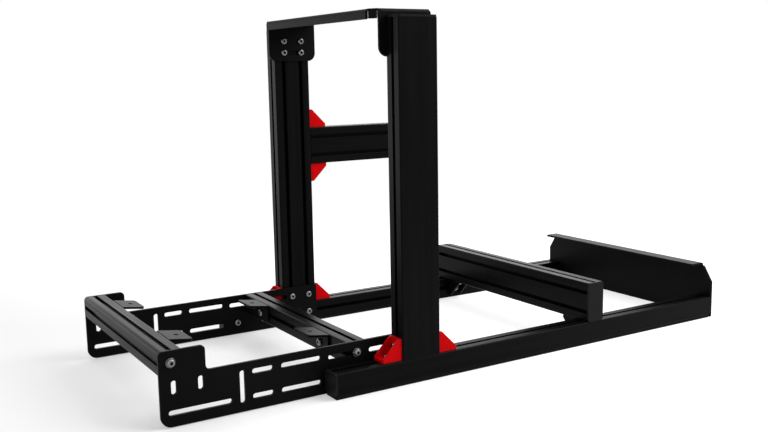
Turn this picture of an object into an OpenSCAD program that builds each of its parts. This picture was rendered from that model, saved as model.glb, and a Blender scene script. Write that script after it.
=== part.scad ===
// Open frame of a sim racing cockpit, bolted together from T-slot bars.
// The pedal end is toward -X, the seat end toward +X, and the floor is Z = 0.

/* [Frame] */
// Outer width across the two base rails
rig_w = 530; // [440:1:640]
// Length of a base rail, its end cap included
rail_len = 950; // [800:5:1200]
// Length of rail that lies ahead of the uprights
rail_lead = 137; // [90:1:200]
// Height of an upright above the rail, its end cap included
upright_len = 604; // [450:1:750]
// Thickness of the rubber strip under each rail
foot_t = 6; // [2:0.5:8]

/* [Bar section] */
// Side of one square cell of a bar
cell = 40; // [40:0.5:45]
// Width of a slot at its mouth
slot_mouth = 8.2; // [8:0.1:10]
// Width of a slot behind its lips
slot_inner = 20; // [16:0.5:21]
// Thickness of the lips at the mouth of a slot
slot_lip = 4.5; // [3:0.1:5.5]
// Depth of a slot
slot_depth = 12.2; // [10:0.1:13]
// Radius of the outer edges of a bar
bar_r = 2.5; // [1:0.1:4]
// Diameter of the bore along each cell
core_d = 6.8; // [5:0.1:8]
// Thickness of an end cap
cap_t = 4; // [2:0.5:6]
// Radius of the corners of an end cap
cap_r = 4.5; // [2.5:0.5:6]

/* [Shifter arm] */
// Height of the arm's lower face above the rails
arm_h = 310; // [200:1:380]
// Length of the arm, its end cap included
arm_len = 280; // [180:5:360]

/* [Corner brackets] */
// Length of each leg of a corner bracket
bracket_leg = 39; // [36:0.5:42]
// Width of a corner bracket
bracket_w = 32; // [28:0.5:38]
// Thickness of a bracket's legs
bracket_t = 5; // [3:0.5:7]
// Thickness of a bracket's side webs
web_t = 4; // [2.5:0.5:6]
// Height of a web at the tip of a leg
web_tip = 7; // [5.5:0.5:12]

/* [Wheel deck] */
// Depth of the deck's side flanges along the rig
flange_w = 108; // [90:1:130]
// Height of the deck's side flanges
flange_h = 82; // [75:1:110]
// Height of the deck above the tops of the uprights
deck_rise = 12; // [5:1:30]
// Reach of the deck's front edge ahead of the flanges
deck_nose = 13; // [8:1:30]
// Height of the lip along the front edge
deck_lip = 18; // [10:1:30]
// Width of the cut corners of the deck's front edge
deck_corner = 20; // [14:1:40]
// Thickness of the deck's sheet
deck_t = 4; // [3:0.5:6]
// Spacing of the wheelbase slots along the rig
wheel_hole_x = 56; // [52:1:60]
// Spacing of the wheelbase slots across the rig
wheel_hole_y = 66; // [50:1:120]
// End to end length of a wheelbase slot
wheel_slot = 32; // [24:1:36]

/* [Seat end] */
// Distance from the uprights to the seat crossbar
seat_bar_gap = 365; // [250:5:450]
// Height of the seat end plate above the rails
end_plate_h = 74; // [55:1:100]
// Depth of the flange along the top of the seat end plate
end_flange = 38; // [25:1:60]
// Thickness of the seat end plate
end_plate_t = 5; // [3:0.5:8]

/* [Pedal tray] */
// Reach of the side plates ahead of the uprights
tray_reach = 430; // [420:1:460]
// Height of the tall part of a side plate
tray_tall = 127; // [118:1:140]
// Height of the low part of a side plate
tray_low = 85; // [82:1:92]
// Length of the tall part of a side plate
tray_tall_w = 78; // [76:1:90]
// Thickness of a side plate
tray_t = 5; // [3:0.5:8]
// Width of the slots in the side plates
tray_slot = 9; // [8:0.5:10]
// Radius of the leading edge of the front crossbar
lead_r = 8; // [3:0.5:10]
// Distance from the uprights to the rear crossbar
rear_bar_gap = 52; // [48:1:56]
// Distance from a side plate to the middle of a pedal tab
tab_inset = 90; // [60:2:130]
// Width of a pedal tab
tab_w = 63; // [50:1:90]
// Reach of a pedal tab
tab_reach = 42; // [30:1:60]
// Thickness of a pedal tab
tab_t = 4; // [3:0.5:6]

/* [Hidden] */
$fn = 48;
bolt_r = 4.25;
tall = 2 * cell;
half_w = rig_w / 2;
in_w = half_w - cell;
mid_w = half_w - cell / 2;
total_len = tray_reach + rail_len - rail_lead + end_plate_t;
x_up = tray_reach - total_len / 2;
x_up2 = x_up + tall;
x_rail = x_up - rail_lead;
x_end = x_rail + rail_len;
x_tray = x_up - tray_reach;
x_bar = x_up2 + seat_bar_gap;
z_rail = foot_t;
z_top = foot_t + cell;
z_up = z_top + upright_len;
z_arm = z_top + arm_h;
row_low = foot_t + cell / 2;
row_high = tray_low - cell / 2;
slot_low = row_low - 2;
slot_high = row_high + 2;
tray_gap = 1;
tray_in = in_w - tray_t;
tab_y = tray_in - tab_inset;
front_z = tray_tall - cell;
rear_z = tray_low - cell;
x_front = x_tray;
x_rear = x_up - rear_bar_gap - cell;
tab_tilt = atan((tray_tall - tray_low) / (x_rear - x_front - cell));
bolt_z1 = 28;
bolt_z2 = 52;
deck_top = z_up + deck_rise;
flange_x = x_up - (flange_w - tall) / 2;
bar_col = [0.045, 0.045, 0.05];
sheet_col = [0.05, 0.05, 0.052];
cap_col = [0.06, 0.06, 0.06];
red_col = [0.72, 0.02, 0.04];
rubber_col = [0.02, 0.02, 0.02];

// One T-slot, cut down from a face that lies along the X axis
module slot_cut() {
  polygon([
    [-slot_mouth / 2, 1],
    [-slot_mouth / 2, -slot_lip],
    [-slot_inner / 2, -slot_lip],
    [-slot_inner / 2, -slot_depth + 4.7],
    [-slot_inner / 2 + 4.7, -slot_depth],
    [slot_inner / 2 - 4.7, -slot_depth],
    [slot_inner / 2, -slot_depth + 4.7],
    [slot_inner / 2, -slot_lip],
    [slot_mouth / 2, -slot_lip],
    [slot_mouth / 2, 1]
  ]);
}

// A rectangle with round corners, its middle at the origin
module round_rect(w, h, r) {
  square([w - 2 * r, h], center = true);
  square([w, h - 2 * r], center = true);
  for (i = [-1, 1])
    for (j = [-1, 1])
      translate([i * (w / 2 - r), j * (h / 2 - r)])
        circle(r = r);
}

// Cross section of a bar of so many cells, with slots in the faces that are open
module bar_section(cols, rows, up, down, east, west) {
  w = cols * cell;
  h = rows * cell;
  difference() {
    round_rect(w, h, bar_r);
    for (i = [0 : cols - 1])
      translate([(i + 0.5) * cell - w / 2, 0]) {
        if (up)
          translate([0, h / 2])
            slot_cut();
        if (down)
          translate([0, -h / 2])
            rotate(180)
              slot_cut();
      }
    for (j = [0 : rows - 1])
      translate([0, (j + 0.5) * cell - h / 2]) {
        if (east)
          translate([w / 2, 0])
            rotate(-90)
              slot_cut();
        if (west)
          translate([-w / 2, 0])
            rotate(90)
              slot_cut();
      }
    for (i = [0 : cols - 1])
      for (j = [0 : rows - 1])
        translate([(i + 0.5) * cell - w / 2, (j + 0.5) * cell - h / 2])
          circle(d = core_d);
    if (rows == 2)
      round_rect(11, 9, 2);
    if (cols == 2)
      round_rect(9, 11, 2);
  }
}

// A solid that runs along X from x0, drawn in the YZ plane
module along_x(x0, len) {
  translate([x0, 0, 0])
    rotate([90, 0, 90])
      linear_extrude(height = len)
        children();
}

// A solid that runs along Y from y0, drawn in the XZ plane
module along_y(y0, len) {
  translate([0, y0 + len, 0])
    rotate([90, 0, 0])
      linear_extrude(height = len)
        children();
}

// Cap that closes the end of a bar, drawn centred and lying flat
module cap_plate(w, h) {
  round_rect(w, h, cap_r);
}

// Corner bracket with its corner at the origin and its legs along +X and +Z
module corner_bracket() {
  difference() {
    union() {
      translate([0, -bracket_w / 2, 0])
        cube([bracket_leg, bracket_w, bracket_t]);
      translate([0, -bracket_w / 2, 0])
        cube([bracket_t, bracket_w, bracket_leg]);
      for (s = [-bracket_w / 2, bracket_w / 2 - web_t])
        along_y(s, web_t)
          polygon([[0, 0], [bracket_leg, 0], [bracket_leg, web_tip],
            [web_tip, bracket_leg], [0, bracket_leg]]);
    }
    translate([bracket_leg * 0.56, 0, -1])
      cylinder(r = bolt_r, h = bracket_t + 2);
    translate([-1, 0, bracket_leg * 0.56])
      rotate([0, 90, 0])
        cylinder(r = bolt_r, h = bracket_t + 2);
  }
}

// Base rail of the side that faces +Y, slots on top, below and inside
module rail() {
  along_x(x_rail + cap_t, rail_len - cap_t)
    translate([mid_w, foot_t + cell / 2])
      bar_section(1, 1, true, true, false, true);
}

module rail_cap() {
  along_x(x_rail, cap_t)
    translate([mid_w, foot_t + cell / 2])
      cap_plate(cell, cell);
}

module foot_strip() {
  translate([x_rail + 2, mid_w - cell / 2 + 2, 0])
    cube([rail_len - 4, cell - 4, foot_t]);
}

module upright() {
  translate([x_up + cell, mid_w, z_top])
    linear_extrude(height = upright_len - cap_t)
      bar_section(2, 1, false, true, true, true);
}

module upright_cap() {
  translate([x_up + cell, mid_w, z_up - cap_t])
    linear_extrude(height = cap_t)
      cap_plate(tall, cell);
}

module front_bracket() {
  translate([x_up, mid_w, z_top])
    mirror([1, 0, 0])
      corner_bracket();
}

module rear_bracket() {
  translate([x_up2, mid_w, z_top])
    corner_bracket();
}

// Bracket in the corner between a rail's inner face and the seat crossbar
module bar_bracket() {
  translate([x_bar + cell / 2, in_w, z_top])
    rotate([0, 0, -90])
      mirror([0, 0, 1])
        corner_bracket();
}

// A slot or hole in a side plate, from one end to the other along a row
module plate_slot(x0, x1, z) {
  translate([x0 + tray_slot / 2, z])
    circle(d = tray_slot);
  translate([x1 - tray_slot / 2, z])
    circle(d = tray_slot);
  translate([x0 + tray_slot / 2, z - tray_slot / 2])
    square([x1 - x0 - tray_slot, tray_slot]);
}

module plate_slot_up(x, z0, z1) {
  translate([x, z0 + tray_slot / 2])
    circle(d = tray_slot);
  translate([x, z1 - tray_slot / 2])
    circle(d = tray_slot);
  translate([x - tray_slot / 2, z0 + tray_slot / 2])
    square([tray_slot, z1 - z0 - tray_slot]);
}

// Outline of a side plate, its pedal end at X = 0
module side_outline() {
  toe_r = 18;
  head_r = 8;
  full = tray_reach + tall;
  difference() {
    union() {
      translate([0, tray_gap + toe_r])
        square([full, tray_low - tray_gap - toe_r]);
      translate([toe_r, tray_gap])
        square([full - toe_r, toe_r + 1]);
      translate([toe_r, tray_gap + toe_r])
        circle(r = toe_r);
      translate([0, tray_low - 1])
        square([tray_tall_w, tray_tall - head_r - tray_low + 1]);
      translate([head_r, tray_low - 1])
        square([tray_tall_w - 2 * head_r, tray_tall - tray_low + 1]);
      for (x = [head_r, tray_tall_w - head_r])
        translate([x, tray_tall - head_r])
          circle(r = head_r);
      translate([tray_tall_w - 1, tray_low - 1])
        square([head_r + 1, head_r + 1]);
    }
    translate([tray_tall_w + head_r, tray_low + head_r])
      circle(r = head_r);
  }
}

module side_plate() {
  along_y(tray_in, tray_t)
    translate([x_tray, 0])
      difference() {
        side_outline();
        plate_slot_up(23.5, 54, 77);
        plate_slot_up(68.5, 54, 77);
        plate_slot(13, 121, slot_low);
        plate_slot_up(140, 16, 72);
        plate_slot(158, 196, slot_low);
        plate_slot(158, 196, slot_high);
        plate_slot(211, 286, slot_low);
        plate_slot(211, 286, slot_high);
        plate_slot(tray_reach - 129, tray_reach - 61, row_high);
        plate_slot(tray_reach - 47, tray_reach + 7, row_high);
        translate([cell / 2, front_z + cell / 2])
          circle(r = bolt_r);
        for (x = [-112, -52, tall - cell / 2])
          translate([tray_reach + x, row_low])
            circle(r = bolt_r);
        for (x = [cell / 2, tall - cell / 2])
          translate([tray_reach + x, row_high])
            circle(r = bolt_r);
      }
}

// Angle that carries one corner of a pedal plate, its leg on the face at X = 0
module pedal_tab(tilt) {
  r = 6;
  difference() {
    union() {
      rotate([0, tilt, 0]) {
        translate([0.6, -tab_w / 2, -tab_t])
          cube([tab_reach - r - 0.6, tab_w, tab_t]);
        translate([0.6, -tab_w / 2 + r, -tab_t])
          cube([tab_reach - 0.6, tab_w - 2 * r, tab_t]);
        for (s = [-1, 1])
          translate([tab_reach - r, s * (tab_w / 2 - r), -tab_t])
            cylinder(r = r, h = tab_t);
      }
      translate([0, -tab_w / 2, -cell * 0.8])
        cube([tab_t, tab_w, cell * 0.8 - 1.2]);
    }
    rotate([0, tilt, 0])
      translate([tab_reach * 0.56, 0, -tab_t - 1])
        cylinder(r = bolt_r, h = tab_t + 2);
    translate([-1, 0, -cell / 2])
      rotate([0, 90, 0])
        cylinder(r = bolt_r, h = tab_t + 2);
  }
}

// The four tabs lie in one plane, which slopes down toward the seat
module front_tab() {
  translate([x_front + cell, tab_y, tray_tall])
    pedal_tab(tab_tilt);
}

module rear_tab() {
  translate([x_rear, tab_y, tray_low])
    mirror([1, 0, 0])
      pedal_tab(-tab_tilt);
}

// Fold at a cut corner of the deck's front edge, apart from the lip and the flange
module corner_fold() {
  x0 = flange_x - deck_nose + 2;
  y0 = in_w - deck_corner;
  dx = flange_x - x0;
  dy = deck_corner - deck_t;
  translate([0, 0, deck_top - deck_t])
    linear_extrude(height = deck_t)
      polygon([[flange_x + 1, y0 - 3], [x0 + 4, y0 - 3], [x0 + 1, y0],
        [flange_x, y0 + dy], [flange_x + 1, y0 + dy]]);
  translate([x0, y0, deck_top - deck_lip + 1])
    rotate([0, 0, atan2(dy, dx)])
      translate([2.5, -deck_t, 0])
        cube([sqrt(dx * dx + dy * dy) - 5, deck_t, deck_lip - 2]);
}

// Groove along the top of that fold
module fold_groove() {
  x0 = flange_x - deck_nose + 2;
  y0 = in_w - deck_corner;
  translate([x0, y0, deck_top - 4.4])
    rotate([0, 0, atan2(deck_corner - deck_t, flange_x - x0)])
      translate([-2, -2, 0])
        cube([30, 6, 1.8]);
}

// Rounds one corner off, where a solid ends at the point and the cut is drawn toward +X and +Z
module corner_cut(r) {
  difference() {
    translate([-1, -1])
      square([r + 1, r + 1]);
    translate([r, r])
      circle(r = r);
  }
}

module wheel_deck() color(sheet_col) {
  bend = deck_t + 2;
  foot_r = 17;
  z_low = deck_top - flange_h;
  difference() {
    union() {
      // top sheet and the two side flanges, bent from one piece
      along_x(flange_x, flange_w)
        difference() {
          union() {
            translate([-in_w, z_low])
              square([2 * in_w, flange_h - bend]);
            translate([-in_w + bend, deck_top - bend - 1])
              square([2 * (in_w - bend), bend + 1]);
            for (s = [-1, 1])
              translate([s * (in_w - bend), deck_top - bend])
                circle(r = bend);
          }
          translate([-in_w + deck_t, z_low - 1])
            square([2 * (in_w - deck_t), flange_h - bend + 1]);
          translate([-in_w + bend, z_low - 1])
            square([2 * (in_w - bend), flange_h - deck_t + 1]);
          for (s = [-1, 1])
            translate([s * (in_w - bend), deck_top - bend])
              circle(r = bend - deck_t);
        }
      // nose with its lip, short of the cut corners so that it can fold
      along_y(-in_w + deck_corner + 2, 2 * (in_w - deck_corner - 2))
        difference() {
          union() {
            translate([flange_x - deck_nose + bend, deck_top - deck_t])
              square([deck_nose - bend + 2, deck_t]);
            translate([flange_x - deck_nose, deck_top - deck_lip])
              square([deck_t, deck_lip - bend]);
            translate([flange_x - deck_nose + bend, deck_top - bend])
              circle(r = bend);
          }
          translate([flange_x - deck_nose + bend, deck_top - bend])
            circle(r = bend - deck_t);
          translate([flange_x - deck_nose + deck_t, deck_top - deck_lip - 1])
            square([deck_nose, deck_lip - bend + 1]);
          translate([flange_x - deck_nose + bend, deck_top - deck_lip - 1])
            square([deck_nose, deck_lip - deck_t + 1]);
        }
      corner_fold();
      mirror([0, 1, 0])
        corner_fold();
    }
    fold_groove();
    mirror([0, 1, 0])
      fold_groove();
    // round lower corners of the flanges
    for (c = [[flange_x, 0], [flange_x + flange_w, 1]])
      along_y(-in_w - 1, 2 * in_w + 2)
        translate([c[0], z_low])
          mirror([c[1], 0])
            corner_cut(foot_r);
    // round rear corners of the two bends
    for (y = [-in_w - 1, in_w - bend])
      along_y(y, bend + 1)
        translate([flange_x + flange_w, deck_top])
          rotate(180)
            corner_cut(8);
    // bolt holes of the flanges, and the slot that takes the lower two bolts
    for (x = [cell / 2, tall - cell / 2])
      for (z = [bolt_z1, bolt_z2])
        translate([x_up + x, -in_w - 1, z_up - z])
          rotate([-90, 0, 0])
            cylinder(r = bolt_r, h = 2 * in_w + 2);
    translate([x_up + cell / 2, -in_w - 1, z_up - bolt_z2 - bolt_r])
      cube([cell, 2 * in_w + 2, 2 * bolt_r]);
    // slots for a wheelbase
    for (i = [-1, 1])
      for (j = [-1, 1])
        translate([x_up + cell + i * wheel_hole_x / 2, j * wheel_hole_y / 2, deck_top - deck_t - 1])
          linear_extrude(height = deck_t + 2)
            union() {
              square([wheel_slot - 2 * bolt_r, 2 * bolt_r], center = true);
              translate([wheel_slot / 2 - bolt_r, 0])
                circle(r = bolt_r);
              translate([bolt_r - wheel_slot / 2, 0])
                circle(r = bolt_r);
            }
  }
}

module seat_end_plate() color(sheet_col) {
  z_hi = z_top + end_plate_h;
  cut_y = 22;
  cut_z = 40;
  bend = end_plate_t + 2;
  difference() {
    union() {
      along_x(x_end, end_plate_t)
        polygon([[-half_w, tray_gap], [half_w, tray_gap], [half_w, z_hi - cut_z],
          [half_w - cut_y, z_hi - bend], [-half_w + cut_y, z_hi - bend], [-half_w, z_hi - cut_z]]);
      along_y(-half_w + cut_y + 4, 2 * (half_w - cut_y - 4))
        difference() {
          union() {
            translate([x_end + end_plate_t - end_flange, z_hi - end_plate_t])
              square([end_flange - bend, end_plate_t]);
            translate([x_end + end_plate_t - bend, z_hi - bend])
              circle(r = bend);
          }
          translate([x_end + end_plate_t - bend, z_hi - bend])
            circle(r = bend - end_plate_t);
          translate([x_end + end_plate_t - 2 * bend, z_hi - 2 * bend])
            square([2 * bend - end_plate_t, bend]);
          translate([x_end + end_plate_t - 2 * bend, z_hi - 2 * bend])
            square([bend, 2 * bend - end_plate_t]);
        }
    }
    for (s = [-1, 1])
      translate([x_end - 1, s * mid_w, foot_t + cell / 2])
        rotate([0, 90, 0])
          cylinder(r = bolt_r, h = end_plate_t + 2);
    // countersinks of the two bolts
    for (s = [-1, 1])
      translate([x_end + end_plate_t - 3.75, s * mid_w, foot_t + cell / 2])
        rotate([0, 90, 0])
          cylinder(r1 = bolt_r, r2 = bolt_r + 4, h = 4);
  }
}

module left_base_rail() color(bar_col) mirror([0, 1, 0]) rail();
module right_base_rail() color(bar_col) rail();
module left_foot_strip() color(rubber_col) mirror([0, 1, 0]) foot_strip();
module right_foot_strip() color(rubber_col) foot_strip();
module left_rail_cap() color(cap_col) mirror([0, 1, 0]) rail_cap();
module right_rail_cap() color(cap_col) rail_cap();
module left_upright() color(bar_col) mirror([0, 1, 0]) upright();
module right_upright() color(bar_col) upright();
module left_upright_cap() color(cap_col) mirror([0, 1, 0]) upright_cap();
module right_upright_cap() color(cap_col) upright_cap();
module left_upright_front_bracket() color(red_col) mirror([0, 1, 0]) front_bracket();
module right_upright_front_bracket() color(red_col) front_bracket();
module left_upright_rear_bracket() color(red_col) mirror([0, 1, 0]) rear_bracket();
module right_upright_rear_bracket() color(red_col) rear_bracket();
module seat_crossbar_left_bracket() color(sheet_col) mirror([0, 1, 0]) bar_bracket();
module seat_crossbar_right_bracket() color(sheet_col) bar_bracket();
module left_pedal_side_plate() color(sheet_col) mirror([0, 1, 0]) side_plate();
module right_pedal_side_plate() color(sheet_col) side_plate();
module front_left_pedal_tab() color(sheet_col) mirror([0, 1, 0]) front_tab();
module front_right_pedal_tab() color(sheet_col) front_tab();
module rear_left_pedal_tab() color(sheet_col) mirror([0, 1, 0]) rear_tab();
module rear_right_pedal_tab() color(sheet_col) rear_tab();

module shifter_arm() color(bar_col) {
  along_x(x_up2, arm_len - cap_t)
    translate([mid_w, z_arm + cell])
      bar_section(1, 2, true, true, false, true);
}

module shifter_arm_cap() color(cap_col) {
  along_x(x_up2 + arm_len - cap_t, cap_t)
    translate([mid_w, z_arm + cell])
      cap_plate(cell, tall);
}

module shifter_arm_upper_bracket() color(red_col) {
  translate([x_up2, mid_w, z_arm + tall])
    corner_bracket();
}

module shifter_arm_lower_bracket() color(red_col) {
  translate([x_up2, mid_w, z_arm])
    mirror([0, 0, 1])
      corner_bracket();
}

module seat_crossbar() color(bar_col) {
  along_y(-half_w + cap_t, rig_w - 2 * cap_t)
    translate([x_bar + cell / 2, z_top + cell])
      bar_section(1, 2, true, true, true, true);
}

module crossbar_cap() {
  along_y(half_w - cap_t, cap_t)
    translate([x_bar + cell / 2, z_top + cell])
      cap_plate(cell, tall);
}

module seat_crossbar_left_cap() color(cap_col) mirror([0, 1, 0]) crossbar_cap();
module seat_crossbar_right_cap() color(cap_col) crossbar_cap();

module pedal_front_crossbar() color(bar_col) {
  along_y(-tray_in, 2 * tray_in)
    difference() {
      translate([x_front + cell / 2, front_z + cell / 2])
        bar_section(1, 1, true, true, true, true);
      translate([x_front, tray_tall])
        mirror([0, 1])
          corner_cut(lead_r);
    }
}

module pedal_rear_crossbar() color(bar_col) {
  along_y(-tray_in, 2 * tray_in)
    translate([x_rear + cell / 2, rear_z + cell / 2])
      bar_section(1, 1, true, true, true, true);
}

left_base_rail();
right_base_rail();
left_foot_strip();
right_foot_strip();
left_rail_cap();
right_rail_cap();
left_upright();
right_upright();
left_upright_cap();
right_upright_cap();
wheel_deck();
shifter_arm();
shifter_arm_cap();
shifter_arm_upper_bracket();
shifter_arm_lower_bracket();
left_upright_front_bracket();
left_upright_rear_bracket();
right_upright_front_bracket();
right_upright_rear_bracket();
seat_crossbar();
seat_crossbar_left_cap();
seat_crossbar_right_cap();
seat_crossbar_left_bracket();
seat_crossbar_right_bracket();
seat_end_plate();
left_pedal_side_plate();
right_pedal_side_plate();
pedal_front_crossbar();
pedal_rear_crossbar();
front_left_pedal_tab();
front_right_pedal_tab();
rear_left_pedal_tab();
rear_right_pedal_tab();
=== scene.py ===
"""Looks of an open sim racing cockpit frame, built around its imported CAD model.

The bars, plates, brackets, caps and foot strips are the CAD nodes, which get their finish
here. Bolts and washers are made here. All lengths are metres, unless a name ends in _MM.
"""
import math
import bmesh
import bpy
from mathutils import Matrix, Vector


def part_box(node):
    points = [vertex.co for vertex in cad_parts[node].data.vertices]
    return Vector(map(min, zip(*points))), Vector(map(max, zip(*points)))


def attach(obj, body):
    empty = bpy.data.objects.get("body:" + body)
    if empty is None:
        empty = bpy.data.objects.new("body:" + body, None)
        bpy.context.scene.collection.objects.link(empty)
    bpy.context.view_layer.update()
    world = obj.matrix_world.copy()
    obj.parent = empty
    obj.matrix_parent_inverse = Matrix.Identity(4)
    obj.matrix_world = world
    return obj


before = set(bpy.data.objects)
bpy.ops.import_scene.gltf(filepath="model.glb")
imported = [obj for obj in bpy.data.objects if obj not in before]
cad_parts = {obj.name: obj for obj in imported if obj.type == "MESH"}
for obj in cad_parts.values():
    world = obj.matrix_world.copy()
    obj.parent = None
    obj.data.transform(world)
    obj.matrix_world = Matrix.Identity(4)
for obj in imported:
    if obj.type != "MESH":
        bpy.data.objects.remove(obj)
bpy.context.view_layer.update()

MM = 0.001
BODY = "root"
SIDES = (-1, 1)   # the left side of the rig is -Y, the right side +Y
UP = Vector((0, 0, 1))
scene = bpy.context.scene
scene.view_settings.view_transform = "Standard"


def link_object(name, data):
    """A new object in the scene, at the origin."""
    obj = bpy.data.objects.new(name, data)
    scene.collection.objects.link(obj)
    return obj


def mesh_of(bm, name):
    """Turns a bmesh into a mesh, and frees it."""
    mesh = bpy.data.meshes.new(name)
    bm.to_mesh(mesh)
    bm.free()
    return mesh


# ---------------------------------------------------------------- camera
CAM_AT = Vector((-1.0565, -1.6148, 0.5548))
CAM_TURN, CAM_RISE, CAM_ROLL = (math.radians(v) for v in (58.487, -8.789, -1.033))
SENSOR_MM = 36
LENS_MM = 43.83
SIGHT_END = 60


def make_camera():
    """Camera at the photograph's place, with a roll of one degree."""
    look = Vector((math.cos(CAM_RISE) * math.cos(CAM_TURN),
                   math.cos(CAM_RISE) * math.sin(CAM_TURN),
                   math.sin(CAM_RISE)))
    right = look.cross(UP).normalized()
    up = right.cross(look)
    c, s = math.cos(CAM_ROLL), math.sin(CAM_ROLL)
    rolled_right = right * c + up * s
    rolled_up = up * c - right * s
    data = bpy.data.cameras.new("camera")
    data.sensor_width = SENSOR_MM
    data.lens = LENS_MM
    data.clip_end = SIGHT_END
    cam = link_object("camera", data)
    turn = Matrix((rolled_right, rolled_up, -look)).transposed().to_4x4()
    cam.matrix_world = Matrix.Translation(CAM_AT) @ turn
    scene.camera = cam


make_camera()


# ---------------------------------------------------------------- node helpers
# A Mix node holds its sockets for numbers, vectors and colours in one list
MIX_FACTOR, MIX_COLOUR_A, MIX_COLOUR_B, MIX_COLOUR_OUT = 0, 6, 7, 2


class Nodes:
    """A short way to build a material's node tree."""

    def __init__(self, name):
        self.mat = bpy.data.materials.new(name)
        self.mat.use_nodes = True
        self.tree = self.mat.node_tree
        self.tree.nodes.clear()
        self.out = self.add("ShaderNodeOutputMaterial")

    def add(self, kind, **values):
        """A new node. Each value goes to the socket of that name, or else to the setting."""
        node = self.tree.nodes.new(kind)
        for key, value in values.items():
            if key in node.inputs:
                node.inputs[key].default_value = value
            else:
                setattr(node, key, value)
        return node

    def link(self, source, socket):
        self.tree.links.new(source, socket)

    def place(self, scale=(1, 1, 1)):
        """Object coordinates in metres, as the objects sit at the origin, stretched by scale."""
        at = self.add("ShaderNodeTexCoord")
        stretch = self.add("ShaderNodeMapping")
        stretch.inputs["Scale"].default_value = scale
        self.link(at.outputs["Object"], stretch.inputs["Vector"])
        return stretch.outputs["Vector"]

    def noise(self, at, scale, detail=2.0, rough=0.5):
        """Noise with scale cells to the metre."""
        tex = self.add("ShaderNodeTexNoise", Scale=scale, Detail=detail, Roughness=rough)
        self.link(at, tex.inputs["Vector"])
        return tex.outputs["Fac"]

    def span(self, value, low, high, low_in=0.3, high_in=0.7):
        """Maps low_in to high_in onto low to high; noise mostly lies from 0.3 to 0.7."""
        fit = self.add("ShaderNodeMapRange")
        limits = {"From Min": low_in, "From Max": high_in, "To Min": low, "To Max": high}
        for key, number in limits.items():
            fit.inputs[key].default_value = number
        self.link(value, fit.inputs["Value"])
        return fit.outputs["Result"]

    def blend(self, noise, dark, light):
        """A colour between two tones, by a noise."""
        share = self.span(noise, 0.0, 1.0)
        mix = self.add("ShaderNodeMix", data_type="RGBA")
        mix.inputs[MIX_COLOUR_A].default_value = (*dark, 1)
        mix.inputs[MIX_COLOUR_B].default_value = (*light, 1)
        self.link(share, mix.inputs[MIX_FACTOR])
        return mix.outputs[MIX_COLOUR_OUT]

    def bump(self, height, distance, strength, after=None):
        """A bump of that many metres, laid over the normal named by after."""
        node = self.add("ShaderNodeBump", Strength=strength, Distance=distance)
        self.link(height, node.inputs["Height"])
        if after is not None:
            self.link(after, node.inputs["Normal"])
        return node.outputs["Normal"]

    def bevel(self, radius):
        """A normal that rounds the sharp edges."""
        return self.add("ShaderNodeBevel", samples=4, Radius=radius).outputs["Normal"]

    def surface(self, colour, rough, normal, **fixed):
        """The shader of the material. What is fixed is set on its own sockets."""
        bsdf = self.add("ShaderNodeBsdfPrincipled")
        for key, value in fixed.items():
            bsdf.inputs[key.replace("_", " ")].default_value = value
        self.link(colour, bsdf.inputs["Base Color"])
        self.link(rough, bsdf.inputs["Roughness"])
        self.link(normal, bsdf.inputs["Normal"])
        self.link(bsdf.outputs["BSDF"], self.out.inputs["Surface"])
        return self.mat

    def mix(self, factor, first, second):
        """A mix of two shaders."""
        node = self.add("ShaderNodeMixShader")
        for socket, source in enumerate((factor, first, second)):
            self.link(source, node.inputs[socket])
        return node.outputs[0]


# ---------------------------------------------------------------- materials
METAL_GLOSS = 0.04    # specular level of anodised and powder coated metal
PLASTIC_GLOSS = 0.08  # specular level of plastic and rubber


def bar_material(name, axis):
    """Black anodised bar, with fine die lines along its length and a soft satin variation."""
    n = Nodes(name)
    fine, broad = [1.0, 1.0, 1.0], [1.0, 1.0, 1.0]
    fine[axis], broad[axis] = 0.0025, 0.04
    lines = n.noise(n.place(fine), 1500.0, detail=3.0, rough=0.6)
    bands = n.noise(n.place(broad), 90.0)
    speck = n.noise(n.place(), 620.0, detail=5.0, rough=0.7)
    colour = n.blend(bands, (0.0022, 0.0022, 0.0024), (0.0042, 0.0042, 0.0045))
    rough = n.add("ShaderNodeMath", operation="ADD")
    n.link(n.span(lines, -0.04, 0.04), rough.inputs[0])
    n.link(n.span(bands, 0.29, 0.37), rough.inputs[1])
    normal = n.bump(lines, 0.00002, 0.5, after=n.bump(speck, 0.00006, 0.35))
    return n.surface(colour, rough.outputs[0], normal, Specular_IOR_Level=METAL_GLOSS)


def coat_material(name, grain):
    """Black powder coat: a fine pebbled skin over slightly rounded edges."""
    n = Nodes(name)
    at = n.place()
    pebble = n.noise(at, grain, detail=3.0, rough=0.55)
    broad = n.noise(at, 9.0, detail=3.0)
    colour = n.blend(broad, (0.0024, 0.0024, 0.0026), (0.0044, 0.0044, 0.0046))
    normal = n.bump(pebble, 0.00006, 0.55, after=n.bevel(0.0006))
    return n.surface(colour, n.span(pebble, 0.35, 0.46), normal,
                     Specular_IOR_Level=METAL_GLOSS)


def red_material(name):
    """Red powder coat on a cast bracket: orange peel, small pits and rounded edges."""
    n = Nodes(name)
    at = n.place()
    peel = n.noise(at, 420.0)
    broad = n.noise(at, 40.0, detail=3.0, rough=0.55)
    pits = n.add("ShaderNodeTexVoronoi", Scale=260.0)
    n.link(at, pits.inputs["Vector"])
    colour = n.blend(broad, (0.60, 0.0014, 0.0030), (0.74, 0.0020, 0.0040))
    cast = n.bump(pits.outputs["Distance"], 0.00005, 0.35, after=n.bevel(0.0011))
    normal = n.bump(peel, 0.00012, 0.5, after=cast)
    return n.surface(colour, n.span(peel, 0.27, 0.40), normal,
                     Specular_IOR_Level=METAL_GLOSS)


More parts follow.
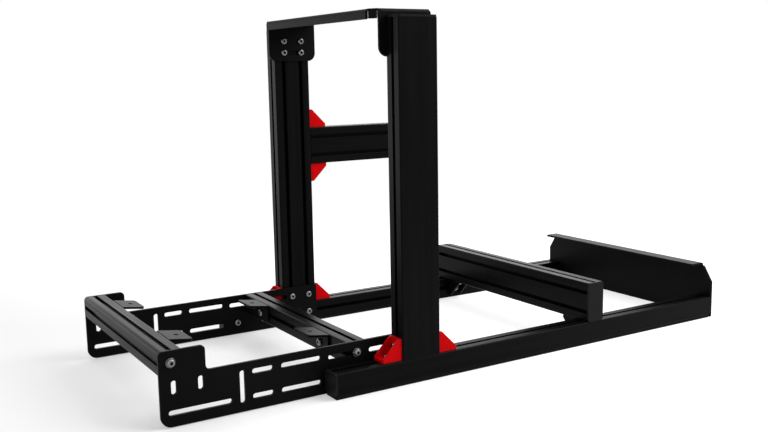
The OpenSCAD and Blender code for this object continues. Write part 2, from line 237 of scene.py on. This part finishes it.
def plastic_material(name):
    """Matte moulded cap with a fine spark grain."""
    n = Nodes(name)
    at = n.place()
    grain = n.noise(at, 1700.0, rough=0.6)
    broad = n.noise(at, 22.0)
    colour = n.blend(broad, (0.0055, 0.0055, 0.0058), (0.0085, 0.0085, 0.0088))
    normal = n.bump(grain, 0.00008, 0.6, after=n.bevel(0.0008))
    return n.surface(colour, n.span(grain, 0.48, 0.62), normal,
                     Specular_IOR_Level=PLASTIC_GLOSS)


def rubber_material(name):
    """Dull black rubber strip with a faint dust bloom."""
    n = Nodes(name)
    at = n.place()
    grain = n.noise(at, 900.0, detail=3.0, rough=0.6)
    bloom = n.noise(at, 14.0, detail=4.0, rough=0.6)
    colour = n.blend(bloom, (0.005, 0.005, 0.005), (0.009, 0.009, 0.009))
    normal = n.bump(grain, 0.0001, 0.6, after=n.bevel(0.0006))
    return n.surface(colour, n.span(grain, 0.72, 0.88), normal,
                     Specular_IOR_Level=PLASTIC_GLOSS)


def steel_material(name, tone, low, high):
    """Dark plated steel, finely brushed, with a roughness from low to high. Made near black, it
    is also the painted shade inside the bolts' sockets.
    """
    n = Nodes(name)
    at = n.place()
    brush = n.noise(at, 1300.0, detail=3.0, rough=0.6)
    broad = n.noise(at, 130.0)
    darker = tuple(0.82 * v for v in tone)
    normal = n.bump(brush, 0.00003, 0.5)
    return n.surface(n.blend(broad, darker, tone), n.span(brush, low, high), normal,
                     Metallic=1.0)


BAR = [bar_material("bar_black_" + letter, axis) for axis, letter in enumerate("xyz")]
SHEET = coat_material("sheet_black", 1100.0)
CAST = coat_material("bracket_black", 600.0)
RED = red_material("red_coat")
PLASTIC = plastic_material("cap_plastic")
RUBBER = rubber_material("foot_rubber")
STEEL = steel_material("bolt_steel", (0.21, 0.21, 0.22), 0.20, 0.34)
# The sockets' insides are painted near black as painted shade for the recess, not as the steel's
# own colour
SOCKET_PAINTED_SHADE = steel_material("bolt_socket_painted_shade", (0.03, 0.03, 0.032), 0.40, 0.55)

# The axis that each bar runs along
BAR_AXIS = {"left_base_rail": 0, "right_base_rail": 0, "shifter_arm": 0,
            "seat_crossbar": 1, "pedal_front_crossbar": 1, "pedal_rear_crossbar": 1,
            "left_upright": 2, "right_upright": 2}


def finish_of(name):
    """The material of a CAD node."""
    if name in BAR_AXIS:
        return BAR[BAR_AXIS[name]]
    if "cap" in name:
        return PLASTIC
    if "foot" in name:
        return RUBBER
    if "bracket" in name:
        return CAST if name.startswith("seat_crossbar") else RED
    return SHEET


for node_name, node_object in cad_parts.items():
    node_object.data.materials.clear()
    node_object.data.materials.append(finish_of(node_name))
    for polygon in node_object.data.polygons:
        polygon.material_index = 0


# ---------------------------------------------------------------- bolts
# Sizes of a bolt are shares of THREAD, its diameter
THREAD = 8 * MM
RING = 36                  # points round a bolt
CROWN_STEPS = 7            # rings up the rounded crown of a button head
FLATS = 0.625              # hexagon socket, across its flats
SOCKET_RIM = 1.10          # the socket's chamfer, as a share of the flats
BUTTON_R, BUTTON_H = 0.875, 0.55
BUTTON_TOP_R = 0.60        # flat top of a button head, as a share of its radius
WASHER_R, WASHER_T, WASHER_BEVEL = 1.0, 0.2, 0.03
FLAT_R, SHANK_R = 0.97, 0.49
FLAT_BELOW = 0.02          # how far a countersunk head lies under the face
SMOOTH_BELOW = math.radians(35)


def hex_radius(angle, across_flats):
    """Distance from the middle of a hexagon to its side, along an angle."""
    step = math.pi / 3
    return across_flats / 2 / math.cos((angle % step) - step / 2)


def ring_points(radius, height, flats=None, turn=0.0):
    """Points of one ring: a circle, or a hexagon where flats is given."""
    points = []
    for i in range(RING):
        angle = 2 * math.pi * i / RING
        r = hex_radius(angle, flats) if flats else radius
        points.append((r * math.cos(angle + turn), r * math.sin(angle + turn), height))
    return points


def socket_rings(top, chamfer, depth, turn):
    """The hexagon socket's rings: its mouth, the foot of its chamfer and its floor."""
    flats = FLATS * THREAD
    return [ring_points(0, top, flats * SOCKET_RIM, turn),
            ring_points(0, top - chamfer * THREAD, flats, turn),
            ring_points(0, top - depth * THREAD, flats, turn)]


def axis_matrix(at, axis):
    """Turns local +Z to the axis and moves the origin to the point."""
    turn = UP.rotation_difference(Vector(axis)).to_matrix().to_4x4()
    return Matrix.Translation(Vector(at)) @ turn


def add_rings(bm, rings, matrix, socket=False):
    """Skins a stack of rings and closes its ends. A socket gets painted shade, a near black
    material, from its chamfer down.
    """
    painted_shade_from = len(rings) - 2 if socket else len(rings)
    made = [[bm.verts.new(matrix @ Vector(p)) for p in ring] for ring in rings]
    for k, (low, high) in enumerate(zip(made, made[1:])):
        for i in range(RING):
            j = (i + 1) % RING
            face = bm.faces.new((low[i], low[j], high[j], high[i]))
            face.smooth = True
            face.material_index = int(k >= painted_shade_from)
    bm.faces.new(list(reversed(made[0])))
    bm.faces.new(made[-1]).material_index = int(socket)


def button_bolt(bm, at, axis, turn, washer=False):
    """Button head bolt with a hexagon socket: it seats at the point, its head along the axis."""
    m = axis_matrix(at, axis)
    low = 0.0
    if washer:
        outer, thick, bevel = WASHER_R * THREAD, WASHER_T * THREAD, WASHER_BEVEL * THREAD
        profile = [(outer - bevel, 0.01 * MM), (outer, bevel), (outer, thick - bevel),
                   (outer - bevel, thick)]
        add_rings(bm, [ring_points(r, z) for r, z in profile], m)
        low = thick
    head_r, head_h = BUTTON_R * THREAD, BUTTON_H * THREAD
    crown_r = head_r * BUTTON_TOP_R
    profile = [(head_r * 0.97, low), (head_r, low + head_h * 0.08)]
    for k in range(1, CROWN_STEPS + 1):
        a = math.pi / 2 * k / CROWN_STEPS
        profile.append((crown_r + (head_r - crown_r) * math.cos(a),
                        low + head_h * (0.14 + 0.86 * math.sin(a))))
    rings = [ring_points(r, z) for r, z in profile]
    add_rings(bm, rings + socket_rings(low + head_h, 0.05, 0.40, turn), m, socket=True)


def flat_bolt(bm, at, axis, turn):
    """Countersunk bolt with a hexagon socket: its head fills a countersink, under the face."""
    top = -FLAT_BELOW * THREAD
    shank, rim = SHANK_R * THREAD, FLAT_R * THREAD
    profile = [(shank, -0.56 * THREAD), (shank, -0.46 * THREAD), (rim, -0.05 * THREAD),
               (rim, -0.035 * THREAD), (rim - 0.02 * THREAD, top)]
    rings = [ring_points(r, z) for r, z in profile]
    add_rings(bm, rings + socket_rings(top, 0.04, 0.36, turn), axis_matrix(at, axis),
              socket=True)


def finish_bolts(name, bm):
    """Turns a bmesh of bolts into a piece that rides on the frame."""
    bmesh.ops.recalc_face_normals(bm, faces=bm.faces)
    mesh = mesh_of(bm, name)
    mesh.materials.append(STEEL)
    # Second slot: the painted shade inside the sockets
    mesh.materials.append(SOCKET_PAINTED_SHADE)
    mesh.set_sharp_from_angle(angle=SMOOTH_BELOW)
    piece = link_object(name, mesh)
    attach(piece, BODY)


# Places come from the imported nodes' boxes, so that they follow the CAD. What a box doesn't
# tell repeats a size of the CAD source.
SHEET_T = 4 * MM                          # sheet of the deck and the pedal tabs
BRACKET_T = 5 * MM                        # legs of a corner bracket
LEG_HOLE = 0.56                           # a bracket's hole, as a share of its leg
DECK_BOLT_DROPS = (28 * MM, 52 * MM)      # below the top of the upright's cap
PLATE_BOLTS_AHEAD = (52 * MM, 112 * MM)   # ahead of the upright, on the rail's row

up_lo, up_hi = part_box("right_upright")
rail_lo, rail_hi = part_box("right_base_rail")
plate_lo, plate_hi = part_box("right_pedal_side_plate")
front_lo, front_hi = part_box("pedal_front_crossbar")
rear_lo, rear_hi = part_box("pedal_rear_crossbar")
arm_lo, arm_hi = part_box("shifter_arm")
bar_lo, bar_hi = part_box("seat_crossbar")
leg_lo, leg_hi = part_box("right_upright_rear_bracket")
cap_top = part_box("right_upright_cap")[1].z
end_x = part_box("seat_end_plate")[1].x
half_cell = (rail_hi.y - rail_lo.y) / 2
rail_y = (rail_lo.y + rail_hi.y) / 2
up_slots = (up_lo.x + half_cell, up_hi.x - half_cell)
row_low = rail_lo.z + half_cell
row_high = rear_lo.z + half_cell
leg = leg_hi.x - leg_lo.x


def deck_bolts(bm):
    """Four bolts through each flange of the deck, into the upright's slots."""
    for s in SIDES:
        for i, x in enumerate(up_slots):
            for j, drop in enumerate(DECK_BOLT_DROPS):
                at = (x, s * (up_lo.y - SHEET_T), cap_top - drop)
                button_bolt(bm, at, (0, -s, 0), 0.4 * i + 0.9 * j + s)


def plate_bolts(bm):
    """Bolts that hold the side plates to rails and uprights, and the crossbars to the plates."""
    places = [(up_slots[0], row_high), (up_slots[1], row_high), (up_slots[1], row_low)]
    places += [(up_lo.x - ahead, row_low) for ahead in PLATE_BOLTS_AHEAD]
    for s in SIDES:
        for i, (x, z) in enumerate(places):
            button_bolt(bm, (x, s * plate_lo.y, z), (0, -s, 0), 0.7 * i + 0.2 * s)
        for i, (lo, hi) in enumerate(((front_lo, front_hi), (rear_lo, rear_hi))):
            at = ((lo.x + hi.x) / 2, s * plate_hi.y, (lo.z + hi.z) / 2)
            button_bolt(bm, at, (0, s, 0), 0.5 * i + 0.3 * s, washer=True)


def corner_bolts(bm, corner, along, rise, turn):
    """The two bolts of a corner bracket, one on each leg."""
    corner, along, rise = Vector(corner), Vector(along), Vector(rise)
    for run, out, extra in ((along, rise, 0.0), (rise, along, 0.5)):
        at = corner + run * leg * LEG_HOLE + out * BRACKET_T
        button_bolt(bm, at, out, turn + extra, washer=True)


def bracket_bolts(bm):
    """Bolts of the brackets at the uprights, the shifter arm and the seat crossbar."""
    up, down, fore, aft = (0, 0, 1), (0, 0, -1), (-1, 0, 0), (1, 0, 0)
    for s in SIDES:
        corner_bolts(bm, (up_lo.x, s * rail_y, rail_hi.z), fore, up, 0.2 * s)
        corner_bolts(bm, (up_hi.x, s * rail_y, rail_hi.z), aft, up, 0.6 * s)
    corner_bolts(bm, (up_hi.x, rail_y, arm_hi.z), aft, up, 0.1)
    corner_bolts(bm, (up_hi.x, rail_y, arm_lo.z), aft, down, 0.8)
    bar_x = (bar_lo.x + bar_hi.x) / 2
    for s in SIDES:
        corner_bolts(bm, (bar_x, s * rail_lo.y, rail_hi.z), (0, -s, 0), down, 0.3 * s)


def seat_end_bolts(bm):
    """One countersunk bolt through the seat end plate into each rail."""
    for s in SIDES:
        flat_bolt(bm, (end_x, s * rail_y, row_low), (1, 0, 0), 0.4 + s)


def tab_bolts(bm):
    """Bolts that hold the pedal tabs to the slots of the crossbars."""
    for tab, out, bar_top in (("front_right_pedal_tab", 1, front_hi.z),
                              ("rear_right_pedal_tab", -1, rear_hi.z)):
        lo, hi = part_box(tab)
        x = (lo.x if out > 0 else hi.x) + out * SHEET_T
        for s in SIDES:
            at = (x, s * (lo.y + hi.y) / 2, bar_top - half_cell)
            button_bolt(bm, at, (out, 0, 0), s)


for piece_name, add_bolts in (("wheel_deck_bolts", deck_bolts),
                              ("pedal_plate_bolts", plate_bolts),
                              ("bracket_bolts", bracket_bolts),
                              ("seat_end_bolts", seat_end_bolts),
                              ("pedal_tab_bolts", tab_bolts)):
    bolts = bmesh.new()
    add_bolts(bolts)
    finish_bolts(piece_name, bolts)


# ---------------------------------------------------------------- floor and light
FLOOR_HALF = 14
FLOOR_DROP = 0.0005              # keeps the floor off the foot strips
FLOOR_BOUNCE = 0.45              # tone of the floor for the light that it throws back
FLOOR_SEEN = 0.62                # tone of the floor where it is seen; its shadow lies in this
GLOW, GLOW_X = (0.27, 0.62), (-0.7, 0.3)   # light added to that tone, rising along X
PLAIN_FROM, PLAIN_TO = 1.1, 2.0  # distance from the middle over which it goes plain white
ROOM_LIGHT = 0.45                # strength of the world as light
WHITE = 1.0

# name, place, what it looks at, size, watts
LAMPS = (("top_light", (-0.1, 0.5, 2.7), (0, 0, 0.2), (2.8, 2.8), 34),
         ("key_light", (2.0, -1.7, 2.6), (-0.2, 0, 0.2), (2.4, 2.4), 110),
         ("side_panel", (-1.25, 2.2, 0.42), (-0.4, 0.2, 0.3), (1.6, 0.84), 6),
         ("back_panel", (1.5, 2.7, 0.8), (0.2, 0, 0.4), (4.6, 1.2), 26),
         ("left_panel", (-2.5, -0.5, 0.8), (-0.2, -0.2, 0.6), (1.2, 1.2), 4))


def is_seen(tree):
    """1 for the rays that show the background: camera, glossy and transmission rays."""
    path = tree.nodes.new("ShaderNodeLightPath")
    seen = path.outputs["Is Camera Ray"]
    for kind in ("Is Glossy Ray", "Is Transmission Ray"):
        either = tree.nodes.new("ShaderNodeMath")
        either.operation = "MAXIMUM"
        tree.links.new(seen, either.inputs[0])
        tree.links.new(path.outputs[kind], either.inputs[1])
        seen = either.outputs[0]
    return seen


def floor_material():
    """White where it is seen, with the object's shadow kept, and a plain grey for light."""
    n = Nodes("floor")
    bounce, seen = (n.add("ShaderNodeBsdfDiffuse", Color=(tone, tone, tone, 1)).outputs[0]
                    for tone in (FLOOR_BOUNCE, FLOOR_SEEN))
    at = n.add("ShaderNodeTexCoord").outputs["Object"]
    split = n.add("ShaderNodeSeparateXYZ")
    n.link(at, split.inputs[0])
    glow = n.add("ShaderNodeEmission")
    n.link(n.span(split.outputs["X"], *GLOW, *GLOW_X), glow.inputs["Strength"])
    near = n.add("ShaderNodeAddShader")
    n.link(seen, near.inputs[0])
    n.link(glow.outputs[0], near.inputs[1])
    white = n.add("ShaderNodeEmission", Strength=WHITE)
    reach = n.add("ShaderNodeVectorMath", operation="LENGTH")
    n.link(at, reach.inputs[0])
    far = n.span(reach.outputs["Value"], 0.0, 1.0, PLAIN_FROM, PLAIN_TO)
    floor_seen = n.mix(far, near.outputs[0], white.outputs[0])
    n.link(n.mix(is_seen(n.tree), bounce, floor_seen), n.out.inputs["Surface"])
    return n.mat


def make_floor():
    """A wide flat floor under the foot strips."""
    bm = bmesh.new()
    bmesh.ops.create_grid(bm, x_segments=2, y_segments=2, size=FLOOR_HALF)
    floor = link_object("floor", mesh_of(bm, "floor"))
    floor.location.z = -FLOOR_DROP
    floor.data.materials.append(floor_material())


def make_world():
    """White where it is seen, and a dimmer room as light."""
    world = bpy.data.worlds.new("room")
    scene.world = world
    world.use_nodes = True
    tree = world.node_tree
    tree.nodes.clear()
    out = tree.nodes.new("ShaderNodeOutputWorld")
    mix = tree.nodes.new("ShaderNodeMixShader")
    tree.links.new(is_seen(tree), mix.inputs[0])
    for socket, strength in ((1, ROOM_LIGHT), (2, WHITE)):
        back = tree.nodes.new("ShaderNodeBackground")
        back.inputs["Color"].default_value = (1, 1, 1, 1)
        back.inputs["Strength"].default_value = strength
        tree.links.new(back.outputs[0], mix.inputs[socket])
    tree.links.new(mix.outputs[0], out.inputs["Surface"])


def add_lamp(name, at, target, size, watts):
    """A soft box that looks at a point, and stays out of the picture itself."""
    data = bpy.data.lights.new(name, "AREA")
    data.shape = "RECTANGLE"
    data.size, data.size_y = size
    data.energy = watts
    lamp = link_object(name, data)
    aim = (Vector(target) - Vector(at)).to_track_quat("-Z", "Y")
    lamp.matrix_world = Matrix.Translation(Vector(at)) @ aim.to_matrix().to_4x4()
    lamp.visible_camera = False


make_floor()
make_world()
for lamp_values in LAMPS:
    add_lamp(*lamp_values)
